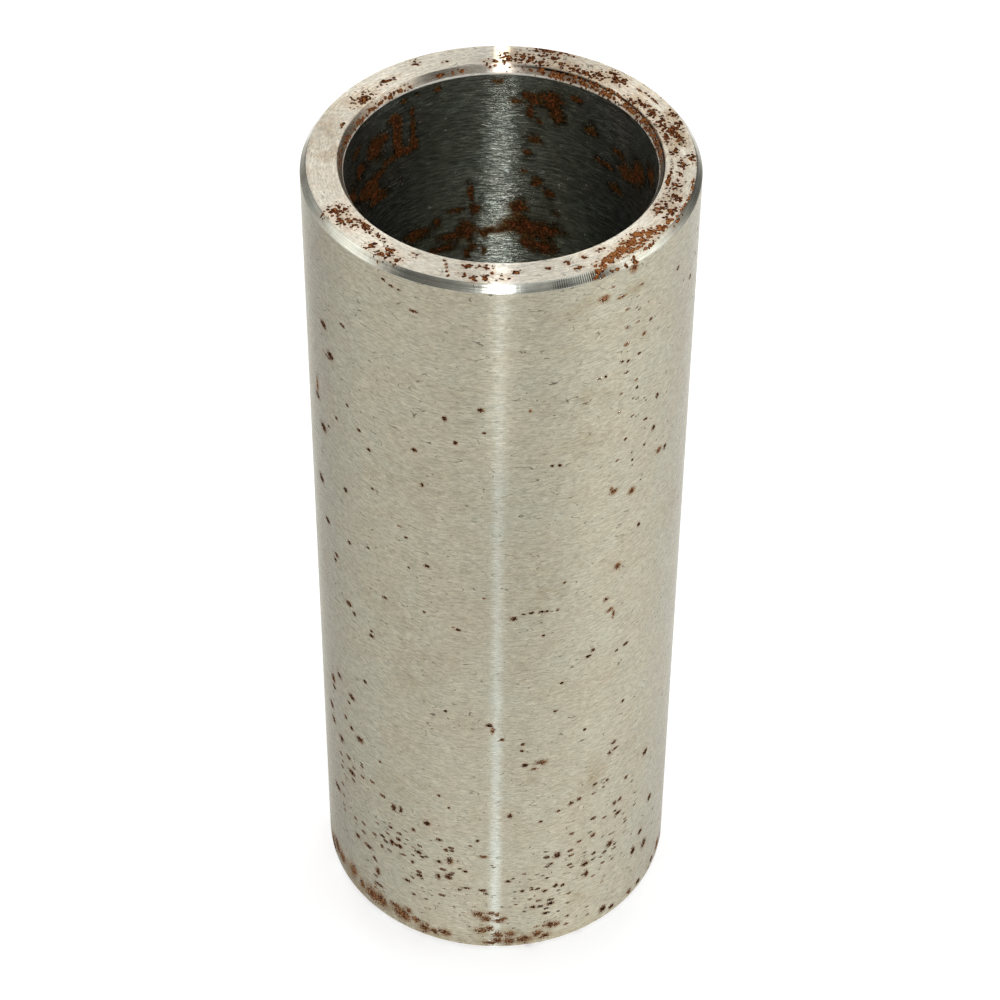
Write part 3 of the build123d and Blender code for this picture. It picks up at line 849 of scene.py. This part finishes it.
# The studio round the sleeve: tone by the side it lies on, in degrees, 0 in front, positive to the right.
# Four bands lie over each other, and "From" is the height, as a share of straight up, over which a band
# takes over from the one under it. "Fade" is how far from the axis, in metres, a tone on the floor fades out
studio = {
    "below": {-180: 1.15, -172: 1.24, -168: 1.31, -160: 1.22, -150: 0.83, -140: 0.62, -128: 0.535,
              -112: 0.59, -90: 0.705, -60: 0.81, -30: 0.79, -14: 0.745, 14: 0.73, 30: 0.785, 60: 1.05,
              90: 0.95, 112: 0.9, 128: 0.89, 140: 0.92, 150: 1.01, 160: 1.13, 168: 1.16, 180: 1.15},
    "low": {-180: 1, -162: 1, -146: 0.42, -134: 0.34, -121: 0.45, -107: 0.75, -90: 0.9, -60: 0.9, 0: 0.9,
            60: 1, 90: 1, 104: 0.8, 115: 0.35, 126: 0.14, 146: 0.2, 162: 1, 180: 1},
    "lowFrom": (-0.37, -0.12),
    "walls": {-180: 1.3, -162: 1.12, -146: 0.42, -134: 0.34, -121: 0.42, -107: 0.9, -94: 1.65, -79: 1.5,
              -67: 0.7, -56: 0.14, -30: 0.25, -12: 0.3, 12: 0.2, 28: 0.4, 36: 0, 43: 0.12, 51: 0, 59: 0.32,
              70: 1.5, 86: 1.75, 99: 1.3, 112: 0.3, 126: 0.12, 146: 0.18, 162: 1.2, 180: 1.3},
    "wallsFrom": (0.14, 0.3),
    "overhead": {-180: 0.1, -172: 0.2, -162: 2, -150: 1.5, -130: 0.9, -105: 0.8, -60: 0.25, -28: 0.4,
                 -14: 0.9, -5: 0.5, 5: 0.5, 14: 0.9, 24: 0.6, 36: 0.9, 45: 0.35, 64: 0.4, 74: 0.9, 80: 0.9,
                 105: 1, 130: 1.1, 150: 1.3, 162: 2, 172: 0.2, 180: 0.1},
    "overheadFrom": (0.6, 0.76),
    # shade on the floor close to the foot
    "foot": {-180: 1, -140: 1, -110: 0.9, -90: 0.86, -70: 0.86, -45: 0.96, 0: 1, 45: 0.97, 75: 0.86,
             95: 0.87, 110: 0.8, 135: 0.9, 160: 1, 180: 1},
    "footFade": (0.042, 0.075),
    # light that lies on the floor in front of the foot
    "pool": {-180: 0, -45: 0, -26: 0.12, -12: 0.18, 12: 0.2, 26: 0.16, 45: 0, 180: 0},
    "poolFade": (0.07, 0.15),
    # a cool bright line on the floor in front, which the wall mirrors as its upright streak
    "strip": {-180: 0, -2.6: 0, -0.9: 1, 0.9: 1, 2.6: 0, 180: 0},
    "stripFade": (0.02, 0.4),
    "stripColour": "c2dcff",
    "paper": "f0f0f0",
    "paperLift": 0.5,  # what the camera sees on top of the lamps' light, so that the paper is white
    "floorSize": 6,
}
white = (1, 1, 1, 1)


def toneBySide(add, direction, tones):
    parts = add("SeparateXYZ", (direction,)).outputs
    ahead = add("Math", (parts["Y"], -1.0), "MULTIPLY")
    side = add("Math", (parts["X"], ahead), "ARCTAN2")
    tone = add("ValToRGB", (add("Math", (side, 0.5 / math.pi, 0.5), "MULTIPLY_ADD"),))
    stops = tone.color_ramp.elements
    for angle, value in tones.items():
        spot = (angle + 180) / 360
        stop = stops[0] if spot == 0 else stops[len(stops) - 1] if spot == 1 else stops.new(spot)
        stop.color = (value, value, value, 1)
    return tone


# White matt paper: it looks plain white with the sleeve's soft shadow. The steel's mirror rays pass it, and
# find the tones below shaded round the foot, with the pool and the strip of light on top
bpy.ops.mesh.primitive_plane_add(size=studio["floorSize"])
floor = bpy.context.active_object
floor.name = "studioFloor"
paper = bpy.data.materials.new("whitePaper")
add = cleared(paper)
rays = add("LightPath").outputs
onFloor = add("TexCoord").outputs["Object"]
away = add("VectorMath", (onFloor,), "LENGTH")
tones, fades = {}, {}
for zone in ("foot", "pool", "strip"):
    tones[zone] = toneBySide(add, onFloor, studio[zone])
    fades[zone] = add("MapRange", (away, *studio[zone + "Fade"], 1.0, 0.0), **smooth)
matt = add("BsdfDiffuse", {"Color": hexToLinear(studio["paper"])})
lift = add("Math", (rays["Is Camera Ray"], studio["paperLift"]), "MULTIPLY")
shown = add("AddShader", (matt, add("Emission", {"Color": white, "Strength": lift})))
shaded = add("Mix", {0: fades["foot"], 6: white, 7: tones["foot"]}, **inColour)
through = add("BsdfTransparent", {"Color": shaded})
pooled = add("VectorMath", {0: tones["pool"], "Scale": fades["pool"]}, "SCALE")
shine = add("VectorMath", {0: hexToLinear(studio["stripColour"])[:3], "Scale": fades["strip"]}, "SCALE")
lined = add("VectorMath", (tones["strip"], shine, pooled), "MULTIPLY_ADD")
mirrored = add("AddShader", (through, add("Emission", {"Color": lined, "Strength": 1.0})))
add("OutputMaterial", (add("MixShader", (rays["Is Glossy Ray"], shown, mirrored)),))
floor.data.materials.append(paper)

world = bpy.data.worlds.new("paleStudio")
bpy.context.scene.world = world
add = cleared(world)
# The steel's mirror rays pass the floor, and a light sample would find it shut
world.cycles.sampling_method = "NONE"
toward = add("TexCoord").outputs["Generated"]
rise = add("SeparateXYZ", (toward,)).outputs["Z"]
tone = toneBySide(add, toward, studio["below"])
for band in ("low", "walls", "overhead"):
    share = add("MapRange", (rise, *studio[band + "From"]), **smooth)
    tone = add("Mix", {0: share, 6: tone, 7: toneBySide(add, toward, studio[band])}, **inColour)
seen = add("LightPath").outputs["Is Camera Ray"]
backdrop = add("Mix", {0: seen, 6: tone, 7: white}, **inColour)
add("OutputWorld", (add("Background", (backdrop, 1.0)),))
print("set up the studio")

# Lamps: one by the lens that fills, one that looks down the bore, a line of light within the bore that its
# back wall mirrors as a glinting streak, and a slit over the far side that makes the white flare on the end
# face. Metres, watts and degrees
lamps = {
    "byLens": {"kind": "AREA", "spot": (0, -0.5, 0.585), "aim": (0, 0, 0.09), "size": 0.03, "watts": 0.4,
               "colour": "dce8ff"},
    "intoBore": {"kind": "SPOT", "spot": (0, -0.5, 0.585), "aim": (0, 0.012, 0.14), "size": 0.015,
                 "watts": 6.8, "colour": "f8faff", "cone": 6.4, "soft": 0.08},
    "glint": {"kind": "AREA", "spot": (0.0006, -0.002, 0.12), "aim": (0.0006, 0.0255, 0.1475), "size": 0.001,
              "long": 0.035, "spread": 30, "watts": 0.000024, "colour": "f8faff"},
    "slit": {"kind": "AREA", "spot": (0, 0.031, 0.3), "aim": (0, 0.031, 0.175), "size": 0.0015, "long": 0.05,
             "spread": 1.2, "watts": 0.00014, "colour": "fffcf4"},
}
for name, lamp in lamps.items():
    light = bpy.data.lights.new(name, lamp["kind"])
    light.energy = lamp["watts"]
    light.color = hexToLinear(lamp["colour"])[:3]
    if lamp["kind"] == "AREA":
        light.shape = "RECTANGLE" if "long" in lamp else "DISK"
        light.size = lamp["size"]
        light.size_y = lamp.get("long", lamp["size"])
        light.spread = math.radians(lamp.get("spread", 180))
    else:
        light.shadow_soft_size = lamp["size"] / 2
        light.spot_size = math.radians(lamp["cone"])
        light.spot_blend = lamp["soft"]
    holder = bpy.data.objects.new(name, light)
    bpy.context.scene.collection.objects.link(holder)
    holder.location = lamp["spot"]
    aim = Vector(lamp["aim"]) - Vector(lamp["spot"])
    holder.rotation_euler = aim.to_track_quat("-Z", "Y").to_euler()
    holder.visible_camera = False

bpy.context.scene.view_settings.view_transform = "Standard"
